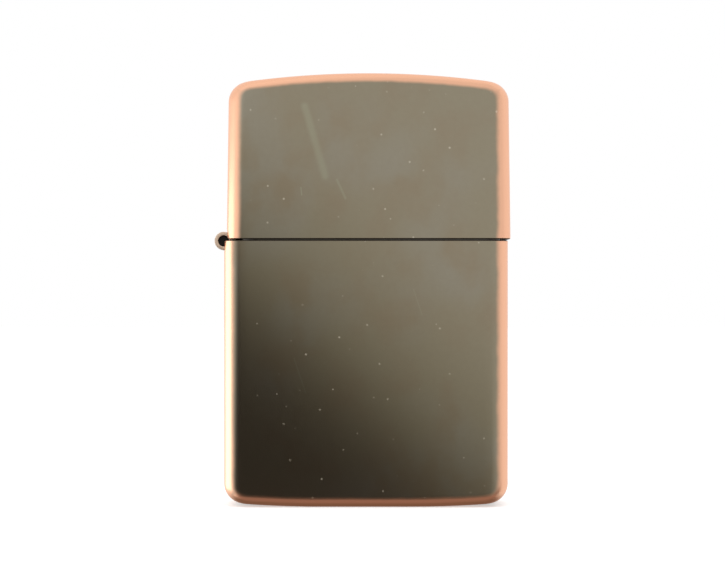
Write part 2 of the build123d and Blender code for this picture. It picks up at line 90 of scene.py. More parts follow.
def plan_ring(half_x, half_y, corner):
    """Points round a rounded rectangle: each corner in equal turns, each straight in equal steps."""
    turn_steps, long_steps, short_steps = 12, 36, 10
    corner = min(corner, half_x * 0.95, half_y * 0.95)
    signs = ((1, 1), (-1, 1), (-1, -1), (1, -1))
    centres = [Vector((sx * (half_x - corner), sy * (half_y - corner))) for sx, sy in signs]
    ring = []
    for quarter, centre in enumerate(centres):
        for step in range(turn_steps + 1):
            angle = pi / 2 * (quarter + step / turn_steps)
            ring.append(centre + corner * Vector((cos(angle), sin(angle))))
        angle = pi / 2 * (quarter + 1)
        reached = ring[-1]
        target = centres[(quarter + 1) % 4] + corner * Vector((cos(angle), sin(angle)))
        steps = long_steps if quarter % 2 == 0 else short_steps
        ring += [reached.lerp(target, step / steps) for step in range(1, steps)]
    return ring


def skin_rings(half, depth, lean, end_corner, long_edge, upright, sink, panel):
    """Rings of a drawn cup's skin, from its open rim at z = 0 to the middle of its closed end.
    sink(x, z) is how far the end drops away from a flat one. panel is (margin, press, slope) or None."""
    wall_steps, corner_steps, panel_steps = 26, 10, 8
    rises = [1 - sin(pi / 2 * step / corner_steps) for step in range(corner_steps + 1)]
    heights = [(depth - end_corner) * step / wall_steps for step in range(wall_steps)]
    heights += [depth - end_corner * rise for rise in rises]
    heights += [depth - long_edge * rise for rise in rises[1:-1]]
    rings = []
    for z in sorted(heights):
        past_x = max(0, z - depth + end_corner)
        past_y = max(0, z - depth + long_edge)
        in_x = end_corner - sqrt(max(0, end_corner ** 2 - past_x ** 2)) + z * lean
        in_y = long_edge - sqrt(max(0, long_edge ** 2 - past_y ** 2))
        rings.append((half.x - in_x, half.y - in_y, max(upright - in_y, 0.4 * upright), z))
    end_x, end_y, end_round, _ = rings[-1]
    if panel:
        margin, press, slope = panel
        inset_x, inset_y = max(0, margin - half.x + end_x), max(0, margin - half.y + end_y)
        for share in (0.5, 1):
            rings.append((end_x - inset_x * share, end_y - inset_y * share, end_round, depth))
        for step in range(1, panel_steps + 1):
            share = step / panel_steps
            drop = press * (1 - cos(pi * share)) / 2
            edge_x, edge_y = end_x - inset_x - slope * share, end_y - inset_y - slope * share
            rings.append((edge_x, edge_y, end_round, depth - drop))
        end_x, end_y, _, depth = rings[-1]
    rings += [(end_x * share, end_y * share, end_round * share, depth) for share in (0.8, 0.55, 0.3, 0.08)]
    return [[Vector((p.x, p.y, z - sink(p.x, z))) for p in plan_ring(x, y, corner)]
            for x, y, corner, z in rings]


def shade(data, corner_degrees):
    """Shades a mesh smooth, with its true corners kept sharp."""
    data.shade_smooth()
    data.set_sharp_from_angle(angle=radians(corner_degrees))


def finished(name, mesh, corner_degrees=35):
    """Turns a bmesh into an object."""
    data = bpy.data.meshes.new(name)
    mesh.to_mesh(data)
    mesh.free()
    obj = bpy.data.objects.new(name, data)
    bpy.context.scene.collection.objects.link(obj)
    shade(data, corner_degrees)
    return obj


def settle(obj, corner_degrees):
    """Applies an object's modifiers and shades the result."""
    result = bpy.data.meshes.new_from_object(obj.evaluated_get(bpy.context.evaluated_depsgraph_get()))
    obj.modifiers.clear()
    obj.data = result
    shade(result, corner_degrees)


def join_rings(mesh, low, high, skin=0):
    """A band of faces between two rings of equally many points."""
    for i in range(len(low)):
        j = (i + 1) % len(low)
        mesh.faces.new((low[i], low[j], high[j], high[i])).material_index = skin


def drawn_cup(name, half, depth, lean, end_corner, long_edge, upright, sink, panel, place):
    """A cup of even sheet, as one closed mesh. place(point) moves a point from the cup's own frame,
    rim at z = 0 and closed end above it, to where the cup belongs. The inner skin is material 1, and
    the rim is material 2."""
    thin = Vector((half.x - sheet, half.y - sheet, 0))
    outer = skin_rings(half, depth, lean, end_corner, long_edge, upright, sink, panel)
    inner = skin_rings(thin, depth - sheet, lean, end_corner - sheet, max(long_edge - sheet, 0.3 * MM),
                       upright - sheet, sink, panel)
    outer_lip = [p - rim_break * Vector((p.x / half.x, p.y / half.y, 0)) for p in outer[0]]
    inner_lip = [p + rim_break * Vector((p.x / half.x, p.y / half.y, 0)) for p in inner[0]]
    outer[0] = [p + Vector((0, 0, rim_break)) for p in outer[0]]
    inner[0] = [p + Vector((0, 0, rim_break)) for p in inner[0]]
    mesh = bmesh.new()
    rings = list(reversed(inner)) + [inner_lip, outer_lip] + outer
    made = [[mesh.verts.new(place(p)) for p in ring] for ring in rings]
    skins = [1] * (len(inner) - 1) + [2] * 3 + [0] * (len(outer) - 1)
    for low, high, skin in zip(made, made[1:], skins):
        join_rings(mesh, low, high, skin)
    mesh.faces.new(list(reversed(made[0]))).material_index = 1
    mesh.faces.new(made[-1])
    bmesh.ops.recalc_face_normals(mesh, faces=mesh.faces)
    return finished(name, mesh)


def cut_notch(shell, wall_x):
    """Cuts the square notch for the hinge's barrel through the wall at wall_x, as a punch does."""
    low = (wall_x - MM, -notch_half_length, hinge_level - notch_half_height)
    high = (wall_x + notch_depth, notch_half_length, hinge_level + notch_half_height)
    punch_mesh = bmesh.new()
    bmesh.ops.create_cube(punch_mesh, size=1)
    for vertex in punch_mesh.verts:
        vertex.co = Vector([a + (b - a) * (c + 0.5) for a, b, c in zip(low, high, vertex.co)])
    punch = finished("punch", punch_mesh)
    cut = shell.modifiers.new("notch", "BOOLEAN")
    cut.operation, cut.solver, cut.object = "DIFFERENCE", "EXACT", punch
    settle(shell, 35)
    bpy.data.objects.remove(punch)


def new_finish(name, metallic):
    """A material with its shader, and the tree to wire it in."""
    material = bpy.data.materials.new(name)
    material.use_nodes = True
    tree = material.node_tree
    shader = tree.nodes["Principled BSDF"]
    shader.inputs["Metallic"].default_value = metallic
    return material, tree, shader


def feed(tree, socket, value):
    """Sets a socket to a value, or wires another socket to it."""
    if isinstance(value, bpy.types.NodeSocket):
        tree.links.new(value, socket)
    else:
        socket.default_value = value


def reckon(tree, operation, *values):
    """One step of arithmetic."""
    step = tree.nodes.new("ShaderNodeMath")
    step.operation = operation
    for socket, value in zip(step.inputs, values):
        feed(tree, socket, value)
    return step.outputs[0]


def aim(tree, operation, *values):
    """One step of vector arithmetic. Gives a number for a distance or a dot product, else a vector."""
    step = tree.nodes.new("ShaderNodeVectorMath")
    step.operation = operation
    for socket, value in zip(step.inputs, values):
        feed(tree, socket, value)
    return step.outputs["Value" if operation in ("DOT_PRODUCT", "DISTANCE") else "Vector"]


def parts_of(tree, vector):
    """The three numbers of a vector."""
    step = tree.nodes.new("ShaderNodeSeparateXYZ")
    tree.links.new(vector, step.inputs[0])
    return step.outputs


def fade(tree, value, start, end):
    """0 at start, 1 at end, eased between them."""
    step = tree.nodes.new("ShaderNodeMapRange")
    step.interpolation_type = "SMOOTHSTEP"
    for name, setting in (("Value", value), ("From Min", start), ("From Max", end)):
        feed(tree, step.inputs[name], setting)
    return step.outputs[0]


def blend_colours(tree, share, first, second):
    """Goes from the first colour to the second."""
    step = tree.nodes.new("ShaderNodeMix")
    step.data_type = "RGBA"
    feed(tree, step.inputs[0], share)
    feed(tree, step.inputs[6], first)
    feed(tree, step.inputs[7], second)
    return step.outputs[2]


def on_piece(tree):
    """Where a point lies on its own piece, in metres."""
    return tree.nodes.new("ShaderNodeTexCoord").outputs["Object"]


def cloud(tree, place, size, detail=3, stretch=(1, 1, 1)):
    """Soft noise from 0 to 1 with blotches of about the given size, longer where stretch is small."""
    spread = aim(tree, "MULTIPLY", place, [s / size for s in stretch])
    noise = tree.nodes.new("ShaderNodeTexNoise")
    noise.inputs["Scale"].default_value = 1
    noise.inputs["Detail"].default_value = detail
    tree.links.new(spread, noise.inputs["Vector"])
    return noise.outputs[0]


def dots(tree, place, pitch, reach):
    """Small round specks, about one to each pitch, each with a radius of reach times the pitch."""
    cells = tree.nodes.new("ShaderNodeTexVoronoi")
    cells.inputs["Scale"].default_value = 1 / pitch
    tree.links.new(place, cells.inputs["Vector"])
    return fade(tree, cells.outputs["Distance"], reach, reach * 0.5)


def relief(tree, shader, height, depth):
    """Raises the surface by depth where height is 1."""
    bump = tree.nodes.new("ShaderNodeBump")
    bump.inputs["Strength"].default_value = 1
    bump.inputs["Distance"].default_value = depth
    tree.links.new(height, bump.inputs["Height"])
    tree.links.new(bump.outputs[0], shader.inputs["Normal"])


def scratch(tree, place, start, end, width):
    """1 along a straight scratch between two points, fading to 0 at its sides."""
    run = end - start
    from_start = aim(tree, "SUBTRACT", place, start)
    along = reckon(tree, "DIVIDE", aim(tree, "DOT_PRODUCT", from_start, run), run.length_squared)
    nearest = aim(tree, "SCALE", run)
    within = reckon(tree, "MINIMUM", reckon(tree, "MAXIMUM", along, 0.0), 1.0)
    tree.links.new(within, nearest.node.inputs["Scale"])
    return fade(tree, aim(tree, "DISTANCE", from_start, nearest), width, width * 0.15)


def rubbed_off(tree, place, low, high, closed_end, kept):
    """1 where the patina is rubbed off, along the edges of the box from low to high, and 0 on its flats.
    closed_end is the cup's (height, bare width, flat half width, bow radius) there, and kept is how much
    less was rubbed off along the hinge side and along the side facing it."""
    worn_front, worn_side, worn_soft = 1.75 * MM, 3.3 * MM, 0.42 * MM
    corner_round, ragged_size, ragged_reach = 2.6 * MM, 2.5 * MM, 0.45 * MM
    end_height, end_width, end_flat, end_bow = closed_end
    half = (high - low) / 2
    x, y, _ = parts_of(tree, aim(tree, "ABSOLUTE", aim(tree, "SUBTRACT", place, (low + high) / 2)))
    true_x, _, true_z = parts_of(tree, place)

    past_flat = reckon(tree, "MAXIMUM", reckon(tree, "SUBTRACT", x, end_flat), 0.0)
    sunk = reckon(tree, "DIVIDE", reckon(tree, "MULTIPLY", past_flat, past_flat), 2 * end_bow)
    from_end = reckon(tree, "ABSOLUTE", reckon(tree, "SUBTRACT", true_z, end_height))
    from_end = reckon(tree, "MULTIPLY", reckon(tree, "SUBTRACT", from_end, sunk), worn_front / end_width)

    on_left = fade(tree, true_x, 1 * MM, -1 * MM)
    kept_here = reckon(tree, "ADD", reckon(tree, "MULTIPLY", on_left, kept[0] - kept[1]), kept[1])
    from_side = reckon(tree, "ADD", reckon(tree, "SUBTRACT", half.x, x), kept_here)

    from_front = reckon(tree, "SUBTRACT", half.y, y)
    on_front = fade(tree, from_front, 0.5 * MM, 0.1 * MM)
    off_front = reckon(tree, "SUBTRACT", 1.0, on_front)
    from_front = reckon(tree, "MULTIPLY", from_front, worn_front / worn_side)

    outline = reckon(tree, "SMOOTH_MIN", from_side, from_end, corner_round)
    nearer = reckon(tree, "MINIMUM", from_side, from_end)
    further = reckon(tree, "MAXIMUM", from_side, from_end)
    arris = reckon(tree, "MAXIMUM", nearer, reckon(tree, "MINIMUM", further, from_front))
    from_edge = reckon(tree, "ADD", reckon(tree, "MULTIPLY", outline, on_front),
                       reckon(tree, "MULTIPLY", arris, off_front))

    ragged = reckon(tree, "SUBTRACT", cloud(tree, place, ragged_size, 5), 0.5)
    ragged = reckon(tree, "MULTIPLY", ragged, ragged_reach)
    ragged_share = reckon(tree, "ADD", 0.5, reckon(tree, "MULTIPLY", on_front, 0.5))
    ragged = reckon(tree, "MULTIPLY", ragged, ragged_share)
    return fade(tree, reckon(tree, "ADD", from_edge, ragged), worn_front + worn_soft, worn_front - worn_soft)


def rubbed_copper(name, low, high, closed_end, kept, scratches):
    """Copper plate under a dark patina that is rubbed off its edges, with specks of dust on it. Each of
    the scratches on the front is its two ends, as (x, z), and its width, in millimetres, and its
    strength. The rest is as rubbed_off has it."""
    patina, patina_brown = (0.335, 0.295, 0.213, 1), (0.33, 0.276, 0.196, 1)
    patina_haze, patina_dark = (0.345, 0.313, 0.245, 1), (0.22, 0.18, 0.13, 1)
    dust, scratched = (0.66, 0.60, 0.48, 1), (0.44, 0.45, 0.33, 1)
    bare_copper = (0.955, 0.53, 0.345, 1)
    broad_size, patch_size, fine_size, grain_size = 13 * MM, 6 * MM, 0.7 * MM, 0.10 * MM
    dust_pitch, dust_reach = 1.9 * MM, 0.095
    material, tree, shader = new_finish(name, metallic=1)
    place = on_piece(tree)
    worn = rubbed_off(tree, place, low, high, closed_end, kept)

    broad = cloud(tree, place, broad_size, 1)
    patchy = cloud(tree, place, patch_size, 3, (1, 1, 0.8))
    fine = cloud(tree, place, fine_size, 4)
    coat = blend_colours(tree, fade(tree, broad, 0.42, 0.66), patina, patina_haze)
    coat = blend_colours(tree, fade(tree, patchy, 0.42, 0.72), coat, patina_brown)
    coat = blend_colours(tree, reckon(tree, "MULTIPLY", fine, 0.16), coat, patina_dark)
    specks = dots(tree, place, dust_pitch, dust_reach)
    specks = reckon(tree, "MULTIPLY", specks, fade(tree, fine, 0.36, 0.58))
    coat = blend_colours(tree, reckon(tree, "MULTIPLY", specks, 0.5), coat, dust)
    for start, end, width, strength in scratches:
        ends = [Vector((x * MM, low.y, z * MM)) for x, z in (start, end)]
        line = reckon(tree, "MULTIPLY", scratch(tree, place, *ends, width * MM), strength)
        coat = blend_colours(tree, line, coat, scratched)
    tree.links.new(blend_colours(tree, worn, coat, bare_copper), shader.inputs["Base Color"])

    dusty = reckon(tree, "MULTIPLY", specks, reckon(tree, "SUBTRACT", 1.0, worn))
    shine = reckon(tree, "SUBTRACT", 1.0, reckon(tree, "MULTIPLY", dusty, 0.3))
    tree.links.new(shine, shader.inputs["Metallic"])
    dull = reckon(tree, "ADD", 0.27, reckon(tree, "MULTIPLY", fine, 0.06))
    dull = reckon(tree, "ADD", dull, reckon(tree, "MULTIPLY", worn, 0.03))
    tree.links.new(dull, shader.inputs["Roughness"])
    relief(tree, shader, cloud(tree, place, grain_size, 2, (1, 1, 0.25)), 0.0012 * MM)
    return material


def darker(colour, share):
    """The same colour, with less light in it."""
    return tuple(c * share for c in colour[:3]) + (1,)


def bare_inside():
    """The unrubbed inside of a drawn shell: plain sheet with faint upright draw lines."""
    brass = (0.80, 0.63, 0.40, 1)
    material, tree, shader = new_finish("bare_brass_inside", metallic=1)
    place = on_piece(tree)
    lines = cloud(tree, place, 0.5 * MM, 3, (1, 1, 0.06))
    stained = blend_colours(tree, cloud(tree, place, 7 * MM, 3), brass, darker(brass, 0.62))
    tree.links.new(stained, shader.inputs["Base Color"])
    rough = reckon(tree, "ADD", 0.36, reckon(tree, "MULTIPLY", lines, 0.16))
    tree.links.new(rough, shader.inputs["Roughness"])
    relief(tree, shader, lines, 0.006 * MM)
    return material


def rim_painted_shade():
    """The sheet's cut edge on the rims, painted near black: painted shade in the gap between lid and case.
    """
    material, tree, shader = new_finish("rim_painted_shade", metallic=1)
    mottle = cloud(tree, on_piece(tree), 0.6 * MM, 4)
    tone = blend_colours(tree, mottle, (0.050, 0.040, 0.030, 1), (0.115, 0.088, 0.062, 1))
    tree.links.new(tone, shader.inputs["Base Color"])
    shader.inputs["Roughness"].default_value = 0.5
    relief(tree, shader, mottle, 0.01 * MM)
    return material


def base_sink(x, z):
    """The base is flat in the middle and bows up towards its ends, dying away up the walls."""
    bow_start, bow_growth = 12 * MM, 9 * MM
    share = min(max((z - case_depth + bow_start) / bow_growth, 0), 1)
    return max(0, abs(x) - base_flat) ** 2 / (2 * base_bow) * share


lower_case = drawn_cup(
    "lower_case", case_half, case_depth, 0, base_corner, base_edge, upright_round, base_sink,
    (panel_margin, panel_press, panel_slope),
    lambda p: Vector((case_middle.x + p.x, p.y, case_high.z - p.z)))
cut_notch(lower_case, case_low.x)
case_copper = rubbed_copper(
    "rubbed_copper_case", case_low, case_high, (case_low.z, 1.2 * MM, base_flat, base_bow),
    (0.5 * MM, 0.35 * MM),
    [((-9.4, 19.5), (-7.9, 15.0), 0.12, 0.25), ((6.2, 28.5), (7.3, 25.2), 0.10, 0.18)])
shell_inside = bare_inside()
# The rims carry painted shade, near black, so the gap between lid and case reads dark.
cut_edge = rim_painted_shade()
for finish in (case_copper, shell_inside, cut_edge):
    lower_case.data.materials.append(finish)
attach(lower_case, "case")
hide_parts("case_shell")

# ---- Lid ---------------------------------------------------------------------------------------------
# A shallower cup of the same sheet, with a crowned top and sides that lean in a little, so that it
# draws cleanly. It is plated, blackened and rubbed together with the case.

lid_low, lid_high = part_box("lid_shell")
lid_middle = (lid_low + lid_high) / 2
lid_half = (lid_high - lid_low) / 2
lid_depth = lid_high.z - lid_low.z
lid_lean = tan(radians(0.7))
lid_crown = 119 * MM
lid_corner, lid_edge = 2.2 * MM, 1.1 * MM


def crown_sink(x, z):
    """The top is one shallow arc from end to end, dying away down the walls."""
    arc_start, arc_growth = 17 * MM, 14 * MM
    share = min(max((z - lid_depth + arc_start) / arc_growth, 0), 1)
    return (lid_crown - sqrt(lid_crown ** 2 - x ** 2)) * share


lid = drawn_cup(
    "lid", lid_half, lid_depth, lid_lean, lid_corner, lid_edge, upright_round, crown_sink, None,
    lambda p: Vector((lid_middle.x + p.x, p.y, lid_low.z + p.z)))
cut_notch(lid, lid_low.x)
lid_copper = rubbed_copper(
    "rubbed_copper_lid", lid_low, lid_high, (lid_high.z, 1.1 * MM, 0, lid_crown), (0, 0),
    [((-8.0, 52.4), (-5.35, 43.3), 0.75, 0.30), ((-3.8, 42.8), (-2.7, 40.4), 0.25, 0.28),
     ((-8.5, 41.8), (-8.4, 40.8), 0.12, 0.45)])
for finish in (lid_copper, shell_inside, cut_edge):
    lid.data.materials.append(finish)
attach(lid, "lid")
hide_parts("lid_shell")

# ---- Hinge -------------------------------------------------------------------------------------------
# Two leaves of thin sheet, spot welded inside the shells, curl into five knuckles round a steel pin.
# The leaves are copper plated like the shells, and the pin's ends sit back in the barrel; the pin is painted
# near black, as painted shade in the barrel's hollow.


def worked_metal(name, colour, dull, line, depth, break_edge=0.06, stretch=(1, 1, 0.08), stain=0.75):
    """Sheet or turned metal: fine working lines, a light stain, and an edge break that shows in its
    highlights. line, depth and break_edge are in millimetres, and stain is the share of light left."""
    material, tree, shader = new_finish(name, metallic=1)
    place = on_piece(tree)
    lines = cloud(tree, place, line * MM, 3, stretch)
    patches = fade(tree, cloud(tree, place, 4 * MM, 4), 0.4, 0.8)
    tree.links.new(blend_colours(tree, patches, colour, darker(colour, stain)), shader.inputs["Base Color"])
    rough = reckon(tree, "ADD", dull, reckon(tree, "MULTIPLY", lines, 0.15))
    tree.links.new(rough, shader.inputs["Roughness"])
    relief(tree, shader, lines, depth * MM)
    rounded = tree.nodes.new("ShaderNodeBevel")
    rounded.samples = 4
    rounded.inputs["Radius"].default_value = break_edge * MM
    tree.links.new(rounded.outputs[0], shader.inputs["Normal"].links[0].from_node.inputs["Normal"])
    return material


def dress(node, material):
    """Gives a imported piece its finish."""
    piece = frame["nodes"][node]
    piece.data.materials.clear()
    piece.data.materials.append(material)
    shade(piece.data, 30)


def softened(node, name, material, round_off):
    """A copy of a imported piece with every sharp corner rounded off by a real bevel."""
    seam, flat_degrees, corner_degrees = 0.002 * MM, 4, 35
    source = frame["nodes"][node]
    mesh = bmesh.new()
    mesh.from_mesh(source.data)
    bmesh.ops.remove_doubles(mesh, verts=mesh.verts, dist=seam)
    bmesh.ops.dissolve_limit(mesh, angle_limit=radians(flat_degrees), verts=mesh.verts, edges=mesh.edges)
    piece = finished(name, mesh, corner_degrees)
    rounding = piece.modifiers.new("rounding", "BEVEL")
    rounding.width, rounding.segments = round_off, 3
    rounding.limit_method, rounding.angle_limit = "ANGLE", radians(corner_degrees)
    rounding.use_clamp_overlap = True
    settle(piece, 40)
    piece.data.materials.append(material)
    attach(piece, source["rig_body"])
    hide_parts(node)
    return piece


# Painted highlight: the leaves' copper is paler than the shells' bare copper, so that the barrel's rolled
# ends read bright.
leaf_copper_painted_highlight = worked_metal(
    "rubbed_leaf_painted_highlight", (0.97, 0.76, 0.60, 1), dull=0.4, line=0.3, depth=0.003, break_edge=0.05, stain=0.85)
# Painted shade: the pin is near black, standing for the shade inside the barrel.
dark_pin_painted_shade = worked_metal("pin_wire_painted_shade", (0.035, 0.032, 0.030, 1), dull=0.3, line=0.2, depth=0.002)
for side in ("case", "lid"):
    leaf = softened(side + "_hinge_leaf", side + "_leaf", leaf_copper_painted_highlight, 0.14 * MM)
dress("hinge_pin", dark_pin_painted_shade)

# ---- Insert: tank, top plate and chimney -------------------------------------------------------------
# Stainless sheet, drawn and folded. The tank holds the fuel, the plate closes it, and the chimney shields
# the flame behind rows of punched holes. Tank and chimney show their upright brushing.


def brushed_stainless(name):
    """Bright sheet with the fine upright lines of a brushing belt."""
    return worked_metal(
        name, (0.62, 0.61, 0.58, 1), dull=0.24, line=0.16, depth=0.004, break_edge=0.12, stain=0.86)


def shaded_gap_stainless(name, height):
    """The same sheet, darkened in a line at a height: painted shade in the gap under the lid."""
    gap_shade_colour = (0.060, 0.052, 0.043, 1)
    gap_shade_reach, gap_shade_core, gap_shade_strength = 0.75 * MM, 0.3 * MM, 0.93
    material = brushed_stainless(name)
    tree = material.node_tree
    base_colour = tree.nodes["Principled BSDF"].inputs["Base Color"]
    unshaded_sheet = base_colour.links[0].from_socket
    place = on_piece(tree)
    away = reckon(tree, "ABSOLUTE", reckon(tree, "SUBTRACT", parts_of(tree, place)[2], height))
    uneven = reckon(tree, "ADD", away, reckon(tree, "MULTIPLY", cloud(tree, place, 1.5 * MM, 4), 0.3 * MM))
    # Painted shade: a dark line round the tank where it shows through the gap under the lid.
    gap_shade = reckon(tree, "MULTIPLY", fade(tree, uneven, gap_shade_reach, gap_shade_core), gap_shade_strength)
    tree.links.new(blend_colours(tree, gap_shade, unshaded_sheet, gap_shade_colour), base_colour)
    return material


brushed = brushed_stainless("brushed_stainless")
for node in ("insert_top_plate", "chimney"):
    dress(node, brushed)
# The tank's dark line at the parting is painted shade.
dress("insert_tank", shaded_gap_stainless("brushed_tank", (case_high.z + lid_low.z) / 2))

# ---- Cam, its spring and the rivets ------------------------------------------------------------------
# The cam is a pressed steel finger on a cross rivet, and a bent leaf spring under it snaps the lid open
# and shut. One more rivet holds that spring, and one is the flint wheel's axle. All are bright steel.

pressed_steel = worked_metal(
    "pressed_steel", (0.52, 0.51, 0.49, 1), dull=0.25, line=0.3, depth=0.004, break_edge=0.08, stain=0.7)
spring_steel = worked_metal(
    "tempered_spring", (0.40, 0.41, 0.43, 1), dull=0.22, line=0.25, depth=0.003, break_edge=0.04, stain=0.7)
for node in ("cam", "cam_rivet", "wheel_rivet", "cam_spring_rivet"):
    dress(node, pressed_steel)
dress("cam_spring", spring_steel)

# ---- Flint wheel -------------------------------------------------------------------------------------
# A hardened steel wheel with saw teeth cut at a slant from each side, so that they meet in a chevron and
# shave the flint. Inside the teeth each side is turned back a little, down to the bore for the rivet.

wheel_low, wheel_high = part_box("flint_wheel")
wheel_middle = (wheel_low + wheel_high) / 2
wheel_radius = (wheel_high.z - wheel_low.z) / 2
wheel_half_width = (wheel_high.y - wheel_low.y) / 2
tooth_count, tooth_depth, tooth_slant = 30, 0.36 * MM, radians(16)
tooth_profile = ((0, 0), (0.35, 0.55), (0.68, 1), (0.76, 1), (0.94, 0))
bore_radius, side_recess, wheel_chamfer = 0.92 * MM, 0.25 * MM, 0.25 * MM
side_steps = ((wheel_radius * 0.72, 0), (wheel_radius * 0.66, side_recess),
              (bore_radius * 1.5, side_recess), (bore_radius, side_recess))
chamfer_start = 0.9                 # as a share of the half width
wheel_slices = 12


def wheel_ring(mesh, radii, turned, y):
    """A ring of points round the wheel's axis, one tooth after another, with these radii in each."""
    ring = []
    for tooth in range(tooth_count):
        for share, radius in radii:
            angle = 2 * pi * (tooth + share) / tooth_count + turned
            x, z = wheel_middle.x + radius * cos(angle), wheel_middle.z + radius * sin(angle)
            ring.append(mesh.verts.new((x, y, z)))
    return ring


wheel_mesh = bmesh.new()
toothed = []
for step in range(wheel_slices + 1):
    across = 2 * step / wheel_slices - 1
    tip = wheel_radius - wheel_chamfer * max(0, (abs(across) - chamfer_start) / (1 - chamfer_start))
    radii = [(share, tip - tooth_depth * (1 - height)) for share, height in tooth_profile]
    y = wheel_middle.y + across * wheel_half_width
    toothed.append(wheel_ring(wheel_mesh, radii, tooth_slant * abs(across), y))
sides = []
for end in (-1, 1):
    for radius, inset in side_steps:
        radii = [(i / len(tooth_profile), radius) for i in range(len(tooth_profile))]
        y = wheel_middle.y + end * (wheel_half_width - inset)
        sides.append(wheel_ring(wheel_mesh, radii, tooth_slant, y))
near, far = sides[:len(side_steps)], sides[len(side_steps):]
wheel_rings = near[::-1] + toothed + far
for low, high in zip(wheel_rings, wheel_rings[1:] + wheel_rings[:1]):
    join_rings(wheel_mesh, low, high)
bmesh.ops.recalc_face_normals(wheel_mesh, faces=wheel_mesh.faces)
striker = finished("toothed_flint_wheel", wheel_mesh, 25)
striker.data.materials.append(worked_metal(
    "hardened_wheel", (0.33, 0.32, 0.31, 1), dull=0.3, line=0.25, depth=0.006, break_edge=0.05,
    stretch=(1, 1, 1), stain=0.45))
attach(striker, "wheel")
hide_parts("flint_wheel")

# ---- Flint feed --------------------------------------------------------------------------------------
# A brass tube runs down through the tank. In it a coil spring on the slotted screw pushes a short plunger
# against the flint, a rod of iron and rare-earth alloy that sparks when the wheel shaves it.

tube_brass = worked_metal(
    "turned_brass", (0.80, 0.60, 0.29, 1), dull=0.22, line=0.25, depth=0.004, break_edge=0.08,
    stretch=(1, 1, 1))
spring_wire = worked_metal(
    "spring_wire", (0.50, 0.50, 0.50, 1), dull=0.25, line=0.2, depth=0.003, break_edge=0.03,
    stretch=(1, 1, 1))
flint_alloy = worked_metal(
    "flint_alloy", (0.13, 0.12, 0.12, 1), dull=0.5, line=0.15, depth=0.02, break_edge=0.05,
    stretch=(1, 1, 1), stain=0.5)
for node in ("flint_tube", "flint_plunger", "flint_screw"):
    dress(node, tube_brass)
dress("flint", flint_alloy)

coil_mesh = bmesh.new()
coil_mesh.from_mesh(frame["nodes"]["flint_spring"].data)
coil_spring = finished("coil_spring", coil_mesh, 40)
coil_spring.data.materials.append(spring_wire)
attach(coil_spring, "case")
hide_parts("flint_spring")
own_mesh(coil_spring)

# ---- Wick --------------------------------------------------------------------------------------------
# Braided cotton yarn, soaked from the packing that it rises out of. It passes through the plate, and its
# top is cut square and charred by the flame.

wick_low, wick_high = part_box("wick")
wick_middle = (wick_low + wick_high) / 2
wick_radius = (wick_high.x - wick_low.x) / 2
strand_count, strand_lay, strand_bulge = 8, 5.2 * MM, 0.13 * MM
round_steps, rise_steps = 96, 300
round_angles = [2 * pi * i / round_steps for i in range(round_steps)]
fray_depth = 0.14 * MM
cut_top = ((0.92, 0), (0.7, 0.12 * MM), (0.45, 0.05 * MM), (0.2, 0.18 * MM))


def braid_height(angle, z):
    """How high the yarn lies: two sets of strands cross, each going over and under the other."""
    turn = 2 * pi * z / strand_lay
    right = abs(sin((strand_count * angle + strand_count * turn) / 2))
    left = abs(sin((strand_count * angle - strand_count * turn) / 2))
    over = 0.5 + 0.5 * sin(strand_count * turn) * sin(strand_count * angle)
    return right * over + left * (1 - over)


def wick_ring(mesh, radii, heights):
    """A ring of points round the wick's axis, one at each of the round angles."""
    ring = []
    for angle, radius, z in zip(round_angles, radii, heights):
        x, y = wick_middle.x + radius * cos(angle), wick_middle.y + radius * sin(angle)
        ring.append(mesh.verts.new((x, y, z)))
    return ring


wick_mesh = bmesh.new()
wick_rings = []
fray = random.Random(7)
for step in range(rise_steps + 1):
    z = wick_low.z + (wick_high.z - wick_low.z) * step / rise_steps
    radii = [wick_radius - strand_bulge * (1 - braid_height(angle, z)) for angle in round_angles]
    wick_rings.append(wick_ring(wick_mesh, radii, [z] * round_steps))
for share, drop in cut_top:
    heights = [wick_high.z - drop - fray_depth * fray.random() for _ in round_angles]
    wick_rings.append(wick_ring(wick_mesh, [wick_radius * share] * round_steps, heights))
for low, high in zip(wick_rings, wick_rings[1:]):
    join_rings(wick_mesh, low, high)
wick_mesh.faces.new(wick_rings[0][::-1])
wick_mesh.faces.new(wick_rings[-1])
bmesh.ops.recalc_face_normals(wick_mesh, faces=wick_mesh.faces)
braided_wick = finished("braided_wick", wick_mesh, 80)


def charred_cotton():
    """Cream yarn, browner and then black towards the top."""
    material, tree, shader = new_finish("charred_cotton", metallic=0)
    place = on_piece(tree)
    fibres = cloud(tree, place, 0.12 * MM, 4, (1, 1, 0.3))
    brown_start, brown_full = wick_high.z - 7 * MM, wick_high.z - 3 * MM
    black_start, black_full = wick_high.z - 3.6 * MM, wick_high.z - 1.4 * MM
    uneven = reckon(tree, "ADD", parts_of(tree, place)[2], reckon(tree, "MULTIPLY", fibres, 1.2 * MM))
    brown = fade(tree, uneven, brown_start, brown_full)
    black = fade(tree, uneven, black_start, black_full)
    yarn = blend_colours(tree, fibres, (0.60, 0.52, 0.40, 1), (0.82, 0.76, 0.64, 1))
    yarn = blend_colours(tree, brown, yarn, (0.16, 0.10, 0.06, 1))
    yarn = blend_colours(tree, black, yarn, (0.012, 0.011, 0.010, 1))
    tree.links.new(yarn, shader.inputs["Base Color"])
    shader.inputs["Roughness"].default_value = 0.9
    relief(tree, shader, fibres, 0.03 * MM)
    return material


braided_wick.data.materials.append(charred_cotton())
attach(braided_wick, frame["nodes"]["wick"]["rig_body"])
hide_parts("wick")

# ---- Packing and felt --------------------------------------------------------------------------------
# Rayon wads fill the tank and hold the fuel. A felt pad closes it from below, with a hole for the screw.


